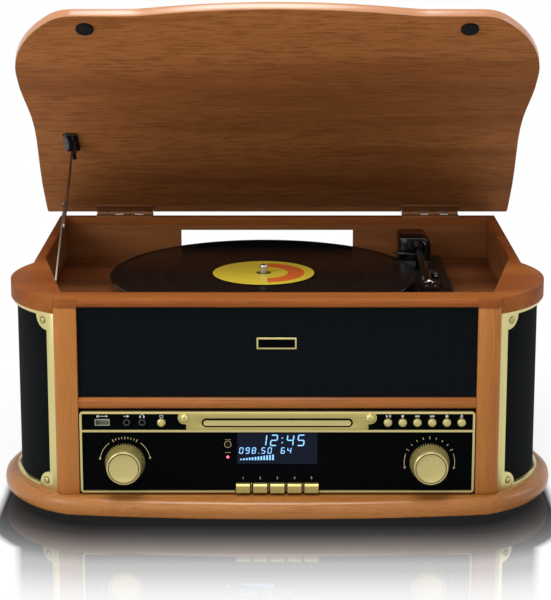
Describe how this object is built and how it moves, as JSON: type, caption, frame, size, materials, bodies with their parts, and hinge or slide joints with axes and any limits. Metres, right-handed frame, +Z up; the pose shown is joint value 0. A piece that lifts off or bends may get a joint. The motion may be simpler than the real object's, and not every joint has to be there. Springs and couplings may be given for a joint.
{
  "type": "stereo music centre",
  "caption": "Retro wooden stereo music centre: turntable under a hinged lid, disc tray, radio display, knobs and keys, with curved cloth grilles at both sides.",
  "frame": {"origin": "middle of the whole part's base, on the surface that the feet stand on", "axes": "+X to the right as seen from the front, +Y to the back, +Z up"},
  "size_m": [0.5084, 0.3916, 0.457],
  "materials": {
    "cabinet_wood": "satin lacquer",
    "plinth_wood": "satin lacquer",
    "frame_wood": "satin lacquer",
    "well_wood": "satin lacquer",
    "deck_wood": "satin lacquer",
    "lid_wood": "satin lacquer",
    "cloth": "fine weave",
    "gilt": "satin gilt",
    "gloss_black": "gloss",
    "black_plastic": "fine texture",
    "display": "smoked window",
    "rubber": "matt",
    "vinyl": "pressed grooves",
    "steel": "brushed",
    "platter_metal": "turned",
    "bronze": "dark bronze",
    "circuit_board": "solder mask",
    "cone": "paper cone"
  },
  "bodies": {
    "cabinet": {"plinth": "plinth_wood", "rubber_feet": "rubber", "front_pillars": "cabinet_wood", "top_frame": "frame_wood", "middle_rail": "cabinet_wood", "side_walls": "well_wood", "back_panel": "well_wood", "turntable_deck": "deck_wood", "front_board": "well_wood", "front_grille": "cloth", "side_grilles": "cloth", "grille_trims": "gilt", "loudspeakers": "cone", "fascia_frame": "gilt", "fascia_panel": "gloss_black", "tray_bezel": "gilt", "display_window": "display", "front_sockets": "steel", "control_board": "circuit_board", "main_board": "circuit_board", "power_transformer": "steel", "disc_mechanism": "steel", "platter_motor": "steel", "spindle": "steel", "drive_belt": "rubber", "tonearm_base": "black_plastic", "hinge_leaves": "bronze", "stay_wall_bracket": "black_plastic", "rear_sockets": "black_plastic"},
    "lid": {"lid_panel": "lid_wood", "lid_pads": "rubber", "lid_hinge_leaves": "bronze", "lid_stay_bracket": "black_plastic"},
    "stay_upper": {"stay_upper_arm": "black_plastic"},
    "stay_lower": {"stay_lower_arm": "black_plastic"},
    "turntable": {"platter": "platter_metal", "slip_mat": "rubber", "record": "vinyl"},
    "pulley": {"motor_pulley": "platter_metal"},
    "turret": {"tonearm_turret": "black_plastic"},
    "arm": {"tonearm": "black_plastic", "headshell": "black_plastic"},
    "lever": {"cue_lever": "black_plastic"},
    "platform": {"cue_platform": "black_plastic"},
    "speed": {"speed_switch": "black_plastic"},
    "tray": {"disc_tray": "black_plastic"},
    "volume": {"volume_knob": "gilt"},
    "tuning": {"tuning_knob": "gilt"},
    "function": {"function_button": "gilt"},
    "transport_1": {"transport_button_1": "gilt"},
    "transport_2": {"transport_button_2": "gilt"},
    "transport_3": {"transport_button_3": "gilt"},
    "transport_4": {"transport_button_4": "gilt"},
    "transport_5": {"transport_button_5": "gilt"},
    "transport_6": {"transport_button_6": "gilt"},
    "preset_1": {"preset_key_1": "gilt"},
    "preset_2": {"preset_key_2": "gilt"},
    "preset_3": {"preset_key_3": "gilt"},
    "preset_4": {"preset_key_4": "gilt"},
    "preset_5": {"preset_key_5": "gilt"}
  },
  "joints": [
    {"name": "lid_hinge", "type": "hinge", "parent": "cabinet", "child": "lid", "pos_m": [0, 0.18898, 0.2082], "axis": [1, 0, 0], "range_deg": [0, 41]},
    {"name": "stay_upper_turn", "type": "hinge", "parent": "lid", "child": "stay_upper", "pos_m": [-0.205, 0.07873, 0.29172], "axis": [1, 0, 0], "range_deg": [-73.08, 0.5]},
    {"name": "stay_lower_turn", "type": "hinge", "parent": "cabinet", "child": "stay_lower", "pos_m": [-0.209, -0.06422, 0.1925], "axis": [1, 0, 0], "range_deg": [-32.08, 0.5]},
    {"name": "platter_spin", "type": "hinge", "parent": "cabinet", "child": "turntable", "pos_m": [-0.0137, 0.03278, 0.1715], "axis": [0, 0, 1], "continuous": true},
    {"name": "pulley_spin", "type": "hinge", "parent": "cabinet", "child": "pulley", "pos_m": [-0.07514, -0.01024, 0.1665], "axis": [0, 0, 1], "continuous": true},
    {"name": "arm_swing", "type": "hinge", "parent": "cabinet", "child": "turret", "pos_m": [0.1435, 0.13078, 0.1715], "axis": [0, 0, -1], "range_deg": [0, 42]},
    {"name": "arm_tilt", "type": "hinge", "parent": "turret", "child": "arm", "pos_m": [0.1435, 0.13078, 0.1885], "axis": [-1, 0, 0], "range_deg": [0, 4.5]},
    {"name": "cue_lever_turn", "type": "hinge", "parent": "cabinet", "child": "lever", "pos_m": [0.1585, 0.08878, 0.166], "axis": [-1, 0, 0], "range_deg": [0, 40]},
    {"name": "cue_platform_lift", "type": "slide", "parent": "cabinet", "child": "platform", "axis": [0, 0, 1], "range_m": [0, 0.0027]},
    {"name": "speed_switch_slide", "type": "slide", "parent": "cabinet", "child": "speed", "axis": [0, 1, 0], "range_m": [-0.004, 0.004]},
    {"name": "disc_tray_slide", "type": "slide", "parent": "cabinet", "child": "tray", "axis": [0, -1, 0], "range_m": [0, 0.13]},
    {"name": "volume_turn", "type": "hinge", "parent": "cabinet", "child": "volume", "pos_m": [-0.1354, -0.17422, 0.0565], "axis": [0, 1, 0], "range_deg": [-150, 150]},
    {"name": "tuning_turn", "type": "hinge", "parent": "cabinet", "child": "tuning", "pos_m": [0.1354, -0.17422, 0.0565], "axis": [0, 1, 0], "continuous": true},
    {"name": "function_press", "type": "slide", "parent": "cabinet", "child": "function", "axis": [0, 1, 0], "range_m": [0, 0.0012], "stiffness_N_per_m": 300},
    {"name": "transport_press_1", "type": "slide", "parent": "cabinet", "child": "transport_1", "axis": [0, 1, 0], "range_m": [0, 0.0012], "stiffness_N_per_m": 300},
    {"name": "transport_press_2", "type": "slide", "parent": "cabinet", "child": "transport_2", "axis": [0, 1, 0], "range_m": [0, 0.0012], "stiffness_N_per_m": 300},
    {"name": "transport_press_3", "type": "slide", "parent": "cabinet", "child": "transport_3", "axis": [0, 1, 0], "range_m": [0, 0.0012], "stiffness_N_per_m": 300},
    {"name": "transport_press_4", "type": "slide", "parent": "cabinet", "child": "transport_4", "axis": [0, 1, 0], "range_m": [0, 0.0012], "stiffness_N_per_m": 300},
    {"name": "transport_press_5", "type": "slide", "parent": "cabinet", "child": "transport_5", "axis": [0, 1, 0], "range_m": [0, 0.0012], "stiffness_N_per_m": 300},
    {"name": "transport_press_6", "type": "slide", "parent": "cabinet", "child": "transport_6", "axis": [0, 1, 0], "range_m": [0, 0.0012], "stiffness_N_per_m": 300},
    {"name": "preset_press_1", "type": "slide", "parent": "cabinet", "child": "preset_1", "axis": [0, 1, 0], "range_m": [0, 0.0012], "stiffness_N_per_m": 300},
    {"name": "preset_press_2", "type": "slide", "parent": "cabinet", "child": "preset_2", "axis": [0, 1, 0], "range_m": [0, 0.0012], "stiffness_N_per_m": 300},
    {"name": "preset_press_3", "type": "slide", "parent": "cabinet", "child": "preset_3", "axis": [0, 1, 0], "range_m": [0, 0.0012], "stiffness_N_per_m": 300},
    {"name": "preset_press_4", "type": "slide", "parent": "cabinet", "child": "preset_4", "axis": [0, 1, 0], "range_m": [0, 0.0012], "stiffness_N_per_m": 300},
    {"name": "preset_press_5", "type": "slide", "parent": "cabinet", "child": "preset_5", "axis": [0, 1, 0], "range_m": [0, 0.0012], "stiffness_N_per_m": 300}
  ],
  "couplings": [
    {"joint": "stay_upper_turn", "follows": "lid_hinge", "ratio": -1.7703},
    {"joint": "stay_lower_turn", "follows": "lid_hinge", "ratio": -0.77034},
    {"joint": "pulley_spin", "follows": "platter_spin", "ratio": 11.539},
    {"joint": "cue_lever_turn", "follows": "arm_tilt", "ratio": 8.888},
    {"joint": "cue_platform_lift", "follows": "arm_tilt", "m_per_rad": 0.0335}
  ]
}
